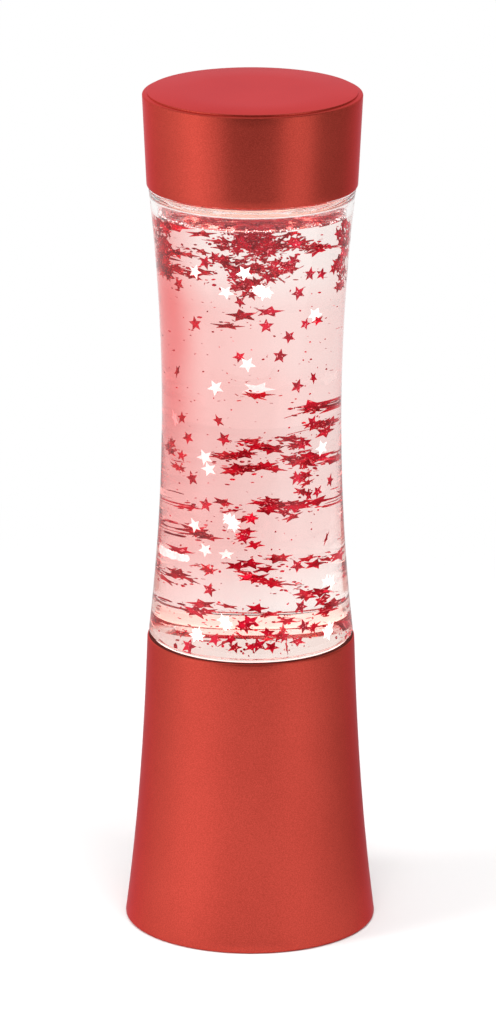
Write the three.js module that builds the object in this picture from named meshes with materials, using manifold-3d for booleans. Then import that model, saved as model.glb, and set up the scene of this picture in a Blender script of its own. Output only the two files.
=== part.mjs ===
// Battery glitter lamp: a flared base with the cells and LEDs, a waisted bottle of liquid with
// foil stars, and a cap. Millimetres, +Z up. The origin is the centre of the ring it stands on.

import * as THREE from 'three';
import { mergeVertices } from 'three/addons/utils/BufferGeometryUtils.js';
import Module from 'manifold-3d';

const wasm = await Module();
wasm.setup();

// Fits, and the fineness of round faces
const clearance = 0.3;
const overrun = 1;
const turnSteps = 32;
const smallSteps = 16;
const bossSteps = 12;
const pinSteps = 8;
const edgeSteps = 2;
const capEdgeSteps = 4;
const flareSteps = 8;
const waistSteps = 6;
const hiddenSteps = 3;
const sectorSteps = 4;

// AAA cells and the cartridge that holds them
const cellCount = 3;
const cellLength = 44.5;
const cellRadius = 5.25;
const cellPitchRadius = 6.3;
const cellButtonRadius = 1.9;
const cellButtonHeight = 0.9;
const cellEdge = 0.6;
const carrierRim = 0.45;
const carrierDisc = 1.6;
const carrierMouth = 9.2;
const carrierCore = 4.4;
const cellSpringHeight = 1.9;
const cellSpringRadius = 3.2;
const cellSpringTipRadius = 1.8;
const cellSpringWire = 0.5;
const cellSpringTurns = 2;
const contactThickness = 0.4;
const linkHalfWidth = 3;
const centrePadRadius = 2.6;
const centreStripHalfWidth = 1.1;
const rivetRadius = 1.3;
const ringContactWidth = 1.8;
const ringContactMargin = 1.5;
const returnStripWidth = 2.4;

// Bayonet cover of the battery tube
const coverThickness = 1.8;
const coverFlange = 1.2;
const plugWall = 1.9;
const lugCount = 3;
const lugReach = 1.8;
const lugHeight = 1.7;
const lugSpan = THREE.MathUtils.degToRad(24);
const coverTurn = THREE.MathUtils.degToRad(35);
const collarRing = 1.4;
const collarWall = 2.2;
const collarRise = 1.6;
const coinSlotLength = 15;
const coinSlotWidth = 2;
const coinSlotDepth = 0.9;
const coverSpringRadius = 8.4;
const coverSpringTipRadius = 5.2;
const coverSpringWire = 0.8;
const coverSpringTurns = 3;

// Base plate with the battery tube
const plateLift = 1;
const plateThickness = 2;
const tubeWall = 1.6;
const tubeCeiling = 1.2;
const screwCount = 3;
const screwHeadRadius = 2.6;
const screwHeadHeight = 1.3;
const screwRecess = 0.4;
const screwShankRadius = 1.2;
const screwLength = 9;
const screwSlotWidth = 0.7;
const screwSlotDepth = 0.6;
const screwSlotLength = 3.2;
const screwPadWall = 1.2;
const screwPadFloor = 1.6;
const bossWall = 1.6;
const bossDepth = 2;
const ribThickness = 1.6;

// LED board
const boardRadius = 13.2;
const boardThickness = 1.4;
const ledCount = 3;
const ledSide = 4.6;
const ledHeight = 1.2;
const ledPitchRadius = 5.5;
const ledLensRadius = 1.8;
const ledLensDepth = 0.4;
const pinRadius = 0.9;
const pinTip = 0.4;
const stakeRadius = 0.9;
const stakeHeadRadius = 1.6;
const stakeHeadHeight = 0.6;
const stakeInset = 2.4;

// Slide switch
const switchLength = 9;
const switchWidth = 4.6;
const switchHeight = 4.2;
const switchWall = 1;
const switchEarLength = 2.6;
const switchEarHeight = 0.9;
const switchStakeRadius = 0.7;
const switchTravel = 2;
const sliderHeight = 1.9;
const knobLength = 2.4;
const knobWidth = 1.8;
const knobProud = 0.6;
const knobGroove = 0.3;
const terminalCount = 3;
const terminalPitch = 2.5;
const terminalWidth = 0.8;
const terminalThickness = 0.4;
const terminalHeight = 1.8;
const fingerRecess = 0.7;
const fingerMargin = 1.6;
const wireRadius = 0.55;
const wireSides = 5;
const wireSteps = 24;
const wireBend = 3;
const wireLowerRun = 9;
const wireLean = 15;
const wireUpperRun = 9;

// Light window and the bottle's seat in the base
const lightGap = 1.5;
const windowInset = 4.8;
const windowThickness = 1.2;
const windowLedge = 1.5;
const shelfLip = 1.2;
const gasketThickness = 1;
const gasketMargin = 0.8;

// Base shell: a straight taper plus a flare that grows towards the foot
const baseWall = 2.2;
const baseTaper = 2.2;
const baseFlare = 3.1;
const baseFlarePower = 2.25;
const baseFootEdge = 0.8;
const baseRimEdge = 0.6;
const rimGap = 0.7;

// Bottle
const bottleHeight = 107.3;
const bottleWall = 1.5;
const bottleEdge = 0.6;
const spigotRadius = 21.8;
const shoulderStep = 2.2;
const waistDepth = 3.1;
const lowerSpigot = 3.7;
const upperSpigot = 3.4;
const neckRadius = 11;
const neckHeight = 5;
const shoulderRise = 3;
const airGap = 5.6;

// Closure of the bottle's neck
const linerThickness = 0.8;
const closureFlange = 2;
const closureFlangeReach = 0.6;
const closurePlugDepth = 4;
const closurePlugWall = 1.4;

// Cap
const capHeight = 22;
const capTaper = 1.05;
const capSeatWall = 2.3;
const capWall = 1.8;
const capEdgeReach = 1;
const capEdgeDrop = 0.6;
const capFootEdge = 0.3;
const capGap = 0.4;

// Foil stars
const starRadius = 1.8;
const starWaistShare = 0.45;
const starPoints = 5;
const starThickness = 0.2;
const starSpinShare = 0.37;

// Where the stars are: a sunken one's turn from the front and its height in the liquid, and a
// floating one's turn and its reach from the axis
const sunkenStarShares = [
  [-0.084, 0.923],
  [0.074, 0.93],
  [-0.148, 0.858],
  [0.086, 0.851],
  [-0.111, 0.773],
  [0.026, 0.779],
  [0.053, 0.706],
  [0.09, 0.63],
  [0.126, 0.537],
  [-0.053, 0.51],
  [-0.122, 0.405],
  [0.088, 0.414],
  [-0.089, 0.35],
  [-0.076, 0.153],
  [0.091, 0.111],
  [0.27, 0.82],
  [-0.28, 0.6],
  [0.42, 0.68],
  [-0.44, 0.37],
  [0.31, 0.24],
  [-0.33, 0.14],
];
const floatingStarShares = [
  [-0.05, 0.74],
  [0.06, 0.7],
  [0.4, 0.66],
  [-0.3, 0.72],
];

// Places that follow from the sizes, from the foot up
const carrierRadius = cellPitchRadius + cellRadius + carrierRim;
const tubeInner = carrierRadius + clearance;
const tubeOuter = tubeInner + tubeWall;
const plugRadius = tubeInner;
const collarInner = plugRadius + clearance;
const lugRadius = plugRadius + lugReach;
const grooveRadius = lugRadius + clearance;
const collarOuter = grooveRadius + collarWall;
const coverRadius = lugRadius + coverFlange;
const coverSeatRadius = coverRadius + clearance;

const plateBottom = plateLift;
const plateTop = plateBottom + plateThickness;
const coverTop = plateBottom + coverThickness;
const coverSeat = coverTop + clearance;
const grooveBottom = coverSeat + collarRing;
const lugBottom = grooveBottom + clearance;
const lugTop = lugBottom + lugHeight;
const grooveTop = lugTop + clearance;
const carrierBottom = lugTop + clearance;
const lowerDiscTop = carrierBottom + carrierDisc;
const cellSpace = cellSpringHeight + cellLength + clearance + clearance + clearance;
const upperDiscBottom = lowerDiscTop + cellSpace;
const carrierTop = upperDiscBottom + carrierDisc;
const tubeCeilingBottom = carrierTop + clearance;
const tubeTop = tubeCeilingBottom + tubeCeiling;
const boardBottom = tubeTop + clearance;
const boardTop = boardBottom + boardThickness;
const ledBottom = boardTop + clearance;
const ledTop = ledBottom + ledHeight;
const windowBottom = ledTop + lightGap;
const windowTop = windowBottom + windowThickness;
const windowSeat = windowBottom - clearance;
const shelfBottom = windowSeat - shelfLip;
const shelfTop = windowTop + clearance;
const gasketBottom = shelfTop + clearance;
const gasketTop = gasketBottom + gasketThickness;
const bottleBottom = gasketTop + clearance;
const bottleFoot = bottleBottom + lowerSpigot;
const baseHeight = bottleFoot - rimGap;
const bottleHead = bottleFoot + bottleHeight;
const spigotTop = bottleHead + upperSpigot;
const neckBottom = spigotTop + shoulderRise;
const neckTop = neckBottom + neckHeight;
const liquidLevel = bottleHead - airGap;
const capBottom = bottleHead + capGap;
const capTop = capBottom + capHeight;

const windowRadius = spigotRadius - windowInset;
const bottleEndRadius = spigotRadius + shoulderStep;
const bottleWaistRadius = bottleEndRadius - waistDepth;
const rimInner = spigotRadius + clearance;
const baseTopRadius = rimInner + baseWall;
const capSeatRadius = spigotRadius + clearance;
const capBottomRadius = capSeatRadius + capSeatWall;
const plateRadius = baseRadius(plateTop) - baseWall - clearance;
const ringRadius = (collarOuter + plateRadius) / 2;
const neckBore = neckRadius - bottleWall;

const red = 0xc8423f;
const lamp = new THREE.Group();

// A closed manifold body from a three.js geometry
function solid(geometry) {
  geometry.deleteAttribute('normal');
  geometry.deleteAttribute('uv');
  const welded = mergeVertices(geometry);
  const corners = welded.index.array;
  const kept = [];
  for (let i = 0; i < corners.length; i += 3) {
    const [a, b, c] = corners.slice(i, i + 3);
    if (a !== b && b !== c && c !== a) kept.push(a, b, c);
  }
  const vertProperties = Float32Array.from(welded.attributes.position.array);
  const triVerts = Uint32Array.from(kept);
  return new wasm.Manifold(new wasm.Mesh({ numProp: 3, vertProperties, triVerts }));
}

function join(first, ...others) {
  return others.reduce((whole, piece) => whole.add(piece), first);
}

function cut(body, ...tools) {
  return tools.reduce((left, tool) => left.subtract(tool), body);
}

// A body turned about Z from an outline of [radius, height] points, given anticlockwise
function revolve(outline, steps = turnSteps) {
  const points = outline.map(([radius, height]) => new THREE.Vector2(radius, height));
  const onAxis = points[0].x === 0 && points[points.length - 1].x === 0;
  if (!onAxis) points.push(points[0].clone());
  const lathe = new THREE.LatheGeometry(points, steps);
  lathe.rotateX(Math.PI / 2);
  return solid(lathe);
}

function cylinder(radius, bottom, top, x = 0, y = 0, steps = smallSteps) {
  const geometry = new THREE.CylinderGeometry(radius, radius, top - bottom, steps);
  geometry.rotateX(Math.PI / 2);
  geometry.translate(x, y, (bottom + top) / 2);
  return solid(geometry);
}

// A block by its lowest and highest corners, turned about Z afterwards
function block(low, high, turn = 0) {
  const size = high.map((value, axis) => value - low[axis]);
  const centre = high.map((value, axis) => (value + low[axis]) / 2);
  const geometry = new THREE.BoxGeometry(...size);
  geometry.translate(...centre);
  geometry.rotateZ(turn);
  return solid(geometry);
}

function prism(shape, bottom, top, steps = smallSteps) {
  const settings = { depth: top - bottom, bevelEnabled: false, curveSegments: steps };
  const geometry = new THREE.ExtrudeGeometry(shape, settings);
  geometry.translate(0, 0, bottom);
  return solid(geometry);
}

// Part of a flat ring between two radii and two angles
function ringSector(inner, outer, from, to, bottom, top) {
  const shape = new THREE.Shape();
  shape.absarc(0, 0, outer, from, to, false);
  shape.absarc(0, 0, inner, to, from, true);
  shape.closePath();
  return prism(shape, bottom, top, sectorSteps);
}

// A bar with round ends between two points
function bar(from, to, halfWidth, bottom, top) {
  const angle = Math.atan2(to.y - from.y, to.x - from.x);
  const shape = new THREE.Shape();
  shape.absarc(to.x, to.y, halfWidth, angle - Math.PI / 2, angle + Math.PI / 2, false);
  shape.absarc(from.x, from.y, halfWidth, angle + Math.PI / 2, angle + Math.PI * 3 / 2, false);
  shape.closePath();
  return prism(shape, bottom, top, sectorSteps);
}

function polar(radius, angle) {
  return new THREE.Vector2(radius * Math.cos(angle), radius * Math.sin(angle));
}

// A rounded edge from one angle to another, as outline points
function arcPoints(centreRadius, centreHeight, edge, from, to, steps = edgeSteps) {
  const points = [];
  for (let i = 0; i <= steps; i += 1) {
    const angle = from + (to - from) * i / steps;
    points.push([centreRadius + edge * Math.cos(angle), centreHeight + edge * Math.sin(angle)]);
  }
  return points;
}

// A wall whose radius follows a curve of the height, as outline points
function wallPoints(radiusAt, from, to, steps = hiddenSteps) {
  const points = [];
  for (let i = 0; i <= steps; i += 1) {
    const height = from + (to - from) * i / steps;
    points.push([radiusAt(height), height]);
  }
  return points;
}

class Coil extends THREE.Curve {
  constructor(startRadius, endRadius, bottom, top, turns) {
    super();
    Object.assign(this, { startRadius, endRadius, bottom, top, turns });
  }

  getPoint(share) {
    const angle = 2 * Math.PI * this.turns * share;
    const radius = THREE.MathUtils.lerp(this.startRadius, this.endRadius, share);
    const height = THREE.MathUtils.lerp(this.bottom, this.top, share);
    return new THREE.Vector3(radius * Math.cos(angle), radius * Math.sin(angle), height);
  }
}

function roundShape(radius, sides) {
  const points = [];
  for (let i = 0; i < sides; i += 1) points.push(polar(radius, 2 * Math.PI * i / sides));
  return new THREE.Shape(points);
}

// Round wire swept along a curve
function sweep(curve, radius, sides, steps) {
  const settings = { extrudePath: curve, steps, bevelEnabled: false };
  return solid(new THREE.ExtrudeGeometry(roundShape(radius, sides), settings));
}

// A conical coil spring that stands between two heights
function coilSpring(startRadius, endRadius, wire, bottom, top, turns) {
  const half = wire / 2;
  const curve = new Coil(startRadius, endRadius, bottom + half, top - half, turns);
  return sweep(curve, half, wireSides, turns * pinSteps);
}

function finish(color, roughness, metalness = 0, opacity = 1) {
  const transparent = opacity < 1;
  return new THREE.MeshStandardMaterial({ color, roughness, metalness, opacity, transparent });
}

function place(name, body, material) {
  const { vertProperties, triVerts } = body.getMesh();
  const geometry = new THREE.BufferGeometry();
  geometry.setAttribute('position', new THREE.BufferAttribute(vertProperties, 3));
  geometry.setIndex(new THREE.BufferAttribute(triVerts, 1));
  geometry.computeVertexNormals();
  const mesh = new THREE.Mesh(geometry, material);
  mesh.name = name;
  lamp.add(mesh);
  return mesh;
}

function baseRadius(height) {
  const down = 1 - height / baseHeight;
  return baseTopRadius + baseTaper * down + baseFlare * down ** baseFlarePower;
}

function baseInner(height) {
  return baseRadius(height) - baseWall;
}

function screwPlace(index) {
  return polar(ringRadius, Math.PI / 6 + 2 * Math.PI * index / screwCount);
}

function cellPlace(index) {
  return polar(cellPitchRadius, Math.PI / 2 + 2 * Math.PI * index / cellCount);
}

// Base shell: the flared skin, the shelf for the bottle, and the screw bosses on ribs
const screwPadTop = plateBottom + screwRecess + screwHeadHeight + clearance + screwPadFloor;
const screwHeadBottom = plateBottom + screwRecess;
const screwHeadTop = screwHeadBottom + screwHeadHeight;
const screwTip = screwHeadTop + screwLength;
const bossBottom = screwPadTop + clearance;
const bossTop = screwTip + clearance + bossDepth;
const bossRadius = screwShankRadius + clearance + bossWall;

function baseSkin() {
  const foot = baseRadius(baseFootEdge) - baseFootEdge;
  const rim = baseTopRadius - baseRimEdge;
  const rimStart = baseHeight - baseRimEdge;
  const outline = [
    ...arcPoints(foot, baseFootEdge, baseFootEdge, -Math.PI / 2, 0),
    ...wallPoints(baseRadius, baseFootEdge, rimStart, flareSteps).slice(1, -1),
    ...arcPoints(rim, rimStart, baseRimEdge, 0, Math.PI / 2),
    [rimInner, baseHeight],
    [rimInner, shelfTop],
    [windowRadius + clearance, shelfTop],
    [windowRadius + clearance, windowSeat],
    [windowRadius - windowLedge, windowSeat],
    [windowRadius - windowLedge, shelfBottom],
    ...wallPoints(baseInner, shelfBottom, 0),
  ];
  return revolve(outline);
}

function bossCore() {
  const middle = (height) => baseRadius(height) - baseWall / 2;
  return revolve([[0, bossBottom], ...wallPoints(middle, bossBottom, bossTop), [0, bossTop]]);
}

function baseShell() {
  let shell = baseSkin();
  const core = bossCore();
  for (let i = 0; i < screwCount; i += 1) {
    const at = screwPlace(i);
    const low = [ringRadius, -ribThickness / 2, bossBottom];
    const high = [baseRadius(0), ribThickness / 2, bossTop];
    const rib = block(low, high, Math.atan2(at.y, at.x)).intersect(core);
    const boss = cylinder(bossRadius, bossBottom, bossTop, at.x, at.y, bossSteps);
    const bore = [screwShankRadius + clearance, bossBottom - overrun, screwTip + clearance];
    shell = join(shell, rib, boss);
    shell = cut(shell, cylinder(...bore, at.x, at.y, pinSteps));
  }
  return shell;
}

place('base_shell', baseShell(), finish(red, 0.35, 0.6));

// Base plate: disc, bayonet collar, battery tube and its ceiling, with stakes and screw pads
const stakeReach = boardRadius - stakeInset;
const stakeAngle = Math.PI / 4;
const switchBottom = plateTop + clearance;
const knobRestX = -switchTravel / 2;
const knobHalf = knobLength / 2;
const switchEarEnd = switchLength / 2 + switchEarLength;
const switchStakeX = switchLength / 2 + switchEarLength / 2;
const ringPinRadius = carrierRadius - ringContactMargin - ringContactWidth / 2;
const pinHole = pinRadius + pinRadius;

function plateBody() {
  const collarTop = grooveTop + collarRise;
  return revolve([
    [coverSeatRadius, plateBottom],
    [plateRadius, plateBottom],
    [plateRadius, plateTop],
    [collarOuter, plateTop],
    [collarOuter, grooveTop],
    [tubeOuter, collarTop],
    [tubeOuter, tubeTop],
    [pinHole, tubeTop],
    [pinHole, tubeCeilingBottom],
    [tubeInner, tubeCeilingBottom],
    [tubeInner, grooveTop],
    [collarInner, grooveTop],
    [collarInner, coverSeat],
    [coverSeatRadius, coverSeat],
  ]);
}

// Three gates let the cover's lugs in, and three pockets let them turn to a stop
function bayonetTools() {
  const tools = [];
  const slack = clearance / lugRadius;
  for (let i = 0; i < lugCount; i += 1) {
    const start = 2 * Math.PI * i / lugCount;
    const inner = plugRadius - overrun;
    const gateStart = start - coverTurn - slack;
    const gateEnd = start - coverTurn + lugSpan + slack;
    const pocketEnd = start + lugSpan + slack;
    tools.push(ringSector(inner, grooveRadius, gateStart, gateEnd, coverSeat - overrun, grooveTop));
    tools.push(ringSector(inner, grooveRadius, gateStart, pocketEnd, grooveBottom, grooveTop));
  }
  return tools;
}

function stake(radius, head, x, y, top) {
  const shank = cylinder(radius, top - stakeHeadHeight - boardThickness - overrun, top, x, y, pinSteps);
  return shank.add(cylinder(head, top - stakeHeadHeight, top, x, y, pinSteps));
}

function switchTools() {
  const half = knobWidth / 2 + clearance;
  const left = knobRestX - knobHalf - clearance;
  const right = knobRestX + switchTravel + knobHalf + clearance;
  const slot = block([left, ringRadius - half, 0], [right, ringRadius + half, plateTop + overrun]);
  const low = [left - fingerMargin, ringRadius - half - fingerMargin, plateBottom - overrun];
  const high = [right + fingerMargin, ringRadius + half + fingerMargin, plateBottom + fingerRecess];
  return [slot, block(low, high)];
}

function basePlate() {
  let plate = cut(plateBody(), ...bayonetTools(), ...switchTools());
  const ringPin = polar(ringPinRadius, stakeAngle);
  const pinTool = [pinHole, tubeCeilingBottom - overrun, tubeTop + overrun];
  plate = cut(plate, cylinder(...pinTool, ringPin.x, ringPin.y, pinSteps));
  for (let i = 0; i < screwCount; i += 1) {
    const at = screwPlace(i);
    const padRadius = screwHeadRadius + clearance + screwPadWall;
    const pad = cylinder(padRadius, plateBottom, screwPadTop, at.x, at.y, bossSteps);
    const seat = [screwHeadRadius + clearance, plateBottom - overrun, screwHeadTop + clearance];
    const hole = [screwShankRadius + clearance, plateBottom, screwPadTop + overrun];
    plate = plate.add(pad);
    plate = cut(plate, cylinder(...seat, at.x, at.y, bossSteps));
    plate = cut(plate, cylinder(...hole, at.x, at.y, pinSteps));
  }
  const boardStakeTop = boardTop + clearance + stakeHeadHeight;
  for (const side of [-1, 1]) {
    const at = polar(side * stakeReach, -stakeAngle);
    plate = plate.add(stake(stakeRadius, stakeHeadRadius, at.x, at.y, boardStakeTop));
    const earTop = switchBottom + switchEarHeight + clearance + stakeHeadHeight;
    const x = side * switchStakeX;
    const peg = cylinder(switchStakeRadius, plateTop - overrun, earTop, x, ringRadius, pinSteps);
    const head = [stakeRadius + clearance, earTop - stakeHeadHeight, earTop];
    plate = join(plate, peg, cylinder(...head, x, ringRadius, pinSteps));
  }
  return plate;
}

place('base_plate', basePlate(), finish(0x232323, 0.6));

// Plate screws with a cross slot in the head
function plateScrew() {
  const head = cylinder(screwHeadRadius, screwHeadBottom, screwHeadTop, 0, 0, bossSteps);
  const shank = revolve([
    [0, screwHeadTop - screwSlotDepth],
    [screwShankRadius, screwHeadTop - screwSlotDepth],
    [screwShankRadius, screwTip - screwShankRadius],
    [0, screwTip],
  ], pinSteps);
  const reach = screwSlotLength / 2;
  const half = screwSlotWidth / 2;
  const top = screwHeadBottom + screwSlotDepth;
  const slot = block([-reach, -half, 0], [reach, half, top]);
  const crossSlot = block([-reach, -half, 0], [reach, half, top], Math.PI / 2);
  return cut(head.add(shank), slot, crossSlot);
}

for (let i = 0; i < screwCount; i += 1) {
  const at = screwPlace(i);
  const screw = place(`plate_screw_${i + 1}`, plateScrew(), finish(0xb9bcc0, 0.3, 0.9));
  screw.position.set(at.x, at.y, 0);
}

// Battery cover: a flanged cup with three lugs and a coin slot, and the coil that stands in it
function batteryCover() {
  const cup = revolve([
    [0, plateBottom],
    [coverRadius, plateBottom],
    [coverRadius, coverTop],
    [plugRadius, coverTop],
    [plugRadius, lugTop],
    [plugRadius - plugWall, lugTop],
    [plugRadius - plugWall, coverTop],
    [0, coverTop],
  ]);
  const lugs = [];
  for (let i = 0; i < lugCount; i += 1) {
    const start = 2 * Math.PI * i / lugCount;
    const inner = plugRadius - plugWall / 2;
    lugs.push(ringSector(inner, lugRadius, start, start + lugSpan, lugBottom, lugTop));
  }
  const half = coinSlotWidth / 2;
  const reach = coinSlotLength / 2;
  const slot = block([-reach, -half, 0], [reach, half, plateBottom + coinSlotDepth]);
  return cut(join(cup, ...lugs), slot);
}

function coverSpring() {
  const bottom = coverTop + clearance;
  const top = carrierBottom - clearance;
  const radii = [coverSpringRadius, coverSpringTipRadius];
  return coilSpring(...radii, coverSpringWire, bottom, top, coverSpringTurns);
}

place('battery_cover', batteryCover(), finish(0x2b2b2b, 0.55));
place('cover_spring', coverSpring(), finish(0xc9ccd0, 0.25, 1));

// Contact pieces of the cartridge. Grown by a clearance, each is also the tool for its recess.
const upperFace = carrierTop - contactThickness;
const stripAngle = Math.PI / 2 - Math.PI / cellCount;
const stripOuter = carrierRadius - clearance;
const stripInner = stripOuter - contactThickness;

function lowerLink(grow = 0) {
  const bottom = lowerDiscTop - contactThickness;
  const top = lowerDiscTop + grow;
  return bar(cellPlace(0), cellPlace(1), linkHalfWidth + grow, bottom - grow, top);
}

function upperLink(grow = 0) {
  const top = upperDiscBottom + contactThickness;
  const bottom = upperDiscBottom - grow;
  return bar(cellPlace(1), cellPlace(2), linkHalfWidth + grow, bottom, top + grow);
}

function centreContact(grow = 0) {
  const at = cellPlace(0);
  const top = carrierTop + grow;
  const strip = bar(new THREE.Vector2(), at, centreStripHalfWidth + grow, upperFace - grow, top);
  const pad = cylinder(centrePadRadius + grow, upperFace - grow, top);
  const rivet = cylinder(rivetRadius + grow, upperDiscBottom - grow, top, at.x, at.y, pinSteps);
  return join(strip, pad, rivet);
}

// A flat ring on top, a strip down a groove in the rib, and a foot under the third cell
function ringContact(grow = 0) {
  const outer = carrierRadius - ringContactMargin + grow;
  const inner = outer - ringContactWidth - grow - grow;
  const ring = revolve([
    [inner, upperFace - grow],
    [outer, upperFace - grow],
    [outer, carrierTop + grow],
    [inner, carrierTop + grow],
  ], turnSteps / 2);
  const half = returnStripWidth / 2 + grow;
  const stripBottom = lowerDiscTop - contactThickness - grow;
  const outside = stripOuter + grow * 2;
  const high = [outside, half, carrierTop + grow];
  const strip = block([stripInner - grow, -half, stripBottom], high, stripAngle);
  const tab = block([inner, -half, upperFace - grow], high, stripAngle);
  const foot = [half, stripBottom, lowerDiscTop + grow];
  const elbow = polar(stripInner - half, stripAngle);
  const ankle = block([elbow.length(), -half, foot[1]], [outside, half, foot[2]], stripAngle);
  return join(ring, strip, tab, ankle, bar(elbow, cellPlace(2), ...foot));
}

// Cartridge frame: two discs joined by three ribs, open outwards so that each cell clips in
function batteryCarrier() {
  const body = cylinder(carrierRadius, carrierBottom, carrierTop, 0, 0, turnSteps);
  const tools = [cylinder(carrierCore, lowerDiscTop, upperDiscBottom, 0, 0, pinSteps)];
  for (let i = 0; i < cellCount; i += 1) {
    const at = cellPlace(i);
    const half = carrierMouth / 2;
    const low = [cellPitchRadius, -half, lowerDiscTop];
    const high = [carrierRadius + overrun, half, upperDiscBottom];
    tools.push(cylinder(cellRadius + clearance, lowerDiscTop, upperDiscBottom, at.x, at.y));
    tools.push(block(low, high, Math.atan2(at.y, at.x)));
  }
  const contacts = [lowerLink, upperLink, centreContact, ringContact];
  return cut(body, ...tools, ...contacts.map((contact) => contact(clearance)));
}

place('battery_carrier', batteryCarrier(), finish(0x1d1d1f, 0.5));
place('lower_link', lowerLink(), finish(0xd0cfc8, 0.3, 1));
place('upper_link', upperLink(), finish(0xd0cfc8, 0.3, 1));
place('centre_contact', centreContact(), finish(0xc9a75a, 0.3, 1));
place('ring_contact', ringContact(), finish(0xc9a75a, 0.3, 1));

// Cells and their springs. The second cell stands upside down.
function aaaCell() {
  const canTop = cellLength - cellButtonHeight;
  return revolve([
    [0, 0],
    [cellRadius - cellEdge, 0],
    [cellRadius, cellEdge],
    [cellRadius, canTop - cellEdge],
    [cellRadius - cellEdge, canTop],
    [cellButtonRadius, canTop],
    [cellButtonRadius, cellLength],
    [0, cellLength],
  ], smallSteps);
}

function cellSpring() {
  const radii = [cellSpringRadius, cellSpringTipRadius];
  return coilSpring(...radii, cellSpringWire, 0, cellSpringHeight, cellSpringTurns);
}

for (let i = 0; i < cellCount; i += 1) {
  const at = cellPlace(i);
  const turned = i === 1;
  const cell = place(`battery_${i + 1}`, aaaCell(), finish(0xbfa24a, 0.35, 0.7));
  const spring = place(`carrier_spring_${i + 1}`, cellSpring(), finish(0xc9ccd0, 0.25, 1));
  const seat = turned ? upperDiscBottom - clearance : lowerDiscTop + clearance;
  const cellSeat = cellSpringHeight + clearance;
  spring.position.set(at.x, at.y, seat);
  cell.position.set(at.x, at.y, turned ? seat - cellSeat : seat + cellSeat);
  if (turned) cell.rotation.x = Math.PI;
  if (turned) spring.rotation.x = Math.PI;
}

// LED board, its three LEDs and the two contact pins under it
function ledBoard() {
  let board = cylinder(boardRadius, boardBottom, boardTop, 0, 0, turnSteps);
  for (const side of [-1, 1]) {
    const at = polar(side * stakeReach, -stakeAngle);
    const hole = [stakeRadius + clearance, boardBottom - overrun, boardTop + overrun];
    board = cut(board, cylinder(...hole, at.x, at.y, pinSteps));
  }
  return board;
}

function led() {
  const half = ledSide / 2;
  const body = block([-half, -half, 0], [half, half, ledHeight]);
  return cut(body, cylinder(ledLensRadius, ledHeight - ledLensDepth, ledHeight + overrun));
}

function contactPin() {
  const bottom = carrierTop + clearance;
  const top = boardBottom - clearance;
  return revolve([
    [0, bottom],
    [pinRadius - pinTip, bottom],
    [pinRadius, bottom + pinTip],
    [pinRadius, top],
    [0, top],
  ], pinSteps);
}

place('led_board', ledBoard(), finish(0xe6e6e0, 0.5));
for (let i = 0; i < ledCount; i += 1) {
  const at = polar(ledPitchRadius, 2 * Math.PI * i / ledCount);
  const lens = place(`led_${i + 1}`, led(), finish(0xfff4d8, 0.3));
  lens.position.set(at.x, at.y, ledBottom);
}
const ringPinAt = polar(ringPinRadius, stakeAngle);
place('centre_pin', contactPin(), finish(0xc9a75a, 0.3, 1));
place('ring_pin', contactPin(), finish(0xc9a75a, 0.3, 1)).position.set(ringPinAt.x, ringPinAt.y, 0);

// Slide switch: an open box with ears and terminals, and the slider that runs in it
const sliderBottom = plateTop + clearance;
const sliderTop = sliderBottom + sliderHeight;
const sliderHalfWidth = switchWidth / 2 - switchWall - clearance;
const sliderHalfLength = (switchLength - switchTravel) / 2 - switchWall - clearance;
const switchTop = switchBottom + switchHeight;

function switchBody() {
  const halfLength = switchLength / 2;
  const halfWidth = switchWidth / 2;
  const near = ringRadius - halfWidth;
  const far = ringRadius + halfWidth;
  let body = block([-halfLength, near, switchBottom], [halfLength, far, switchTop]);
  const earTop = switchBottom + switchEarHeight;
  body = body.add(block([-switchEarEnd, near, switchBottom], [switchEarEnd, far, earTop]));
  const low = [-halfLength + switchWall, near + switchWall, switchBottom - overrun];
  const high = [halfLength - switchWall, far - switchWall, sliderTop + clearance];
  body = cut(body, block(low, high));
  for (const side of [-1, 1]) {
    const hole = [switchStakeRadius + clearance, switchBottom - overrun, earTop + overrun];
    body = cut(body, cylinder(...hole, side * switchStakeX, ringRadius, pinSteps));
  }
  for (let i = 0; i < terminalCount; i += 1) {
    const x = (i - (terminalCount - 1) / 2) * terminalPitch;
    const half = [terminalWidth / 2, terminalThickness / 2];
    const foot = [x - half[0], ringRadius - half[1], switchTop - switchWall];
    const tip = [x + half[0], ringRadius + half[1], switchTop + terminalHeight];
    body = body.add(block(foot, tip));
  }
  return body;
}

function switchSlider() {
  const low = [knobRestX - sliderHalfLength, ringRadius - sliderHalfWidth, sliderBottom];
  const high = [knobRestX + sliderHalfLength, ringRadius + sliderHalfWidth, sliderTop];
  const foot = plateBottom - knobProud;
  const half = knobWidth / 2;
  const knobLow = [knobRestX - knobHalf, ringRadius - half, foot];
  const knobHigh = [knobRestX + knobHalf, ringRadius + half, sliderTop - knobGroove];
  let slider = block(low, high).add(block(knobLow, knobHigh));
  for (const side of [-1, 0, 1]) {
    const x = knobRestX + side * knobLength / 3;
    const grooveLow = [x - knobGroove / 2, ringRadius - knobWidth, foot - overrun];
    const grooveHigh = [x + knobGroove / 2, ringRadius + knobWidth, foot + knobGroove];
    slider = cut(slider, block(grooveLow, grooveHigh));
  }
  return slider;
}

place('switch_body', switchBody(), finish(0x111111, 0.5));
place('switch_slider', switchSlider(), finish(0xf0f0ee, 0.45));

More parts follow.
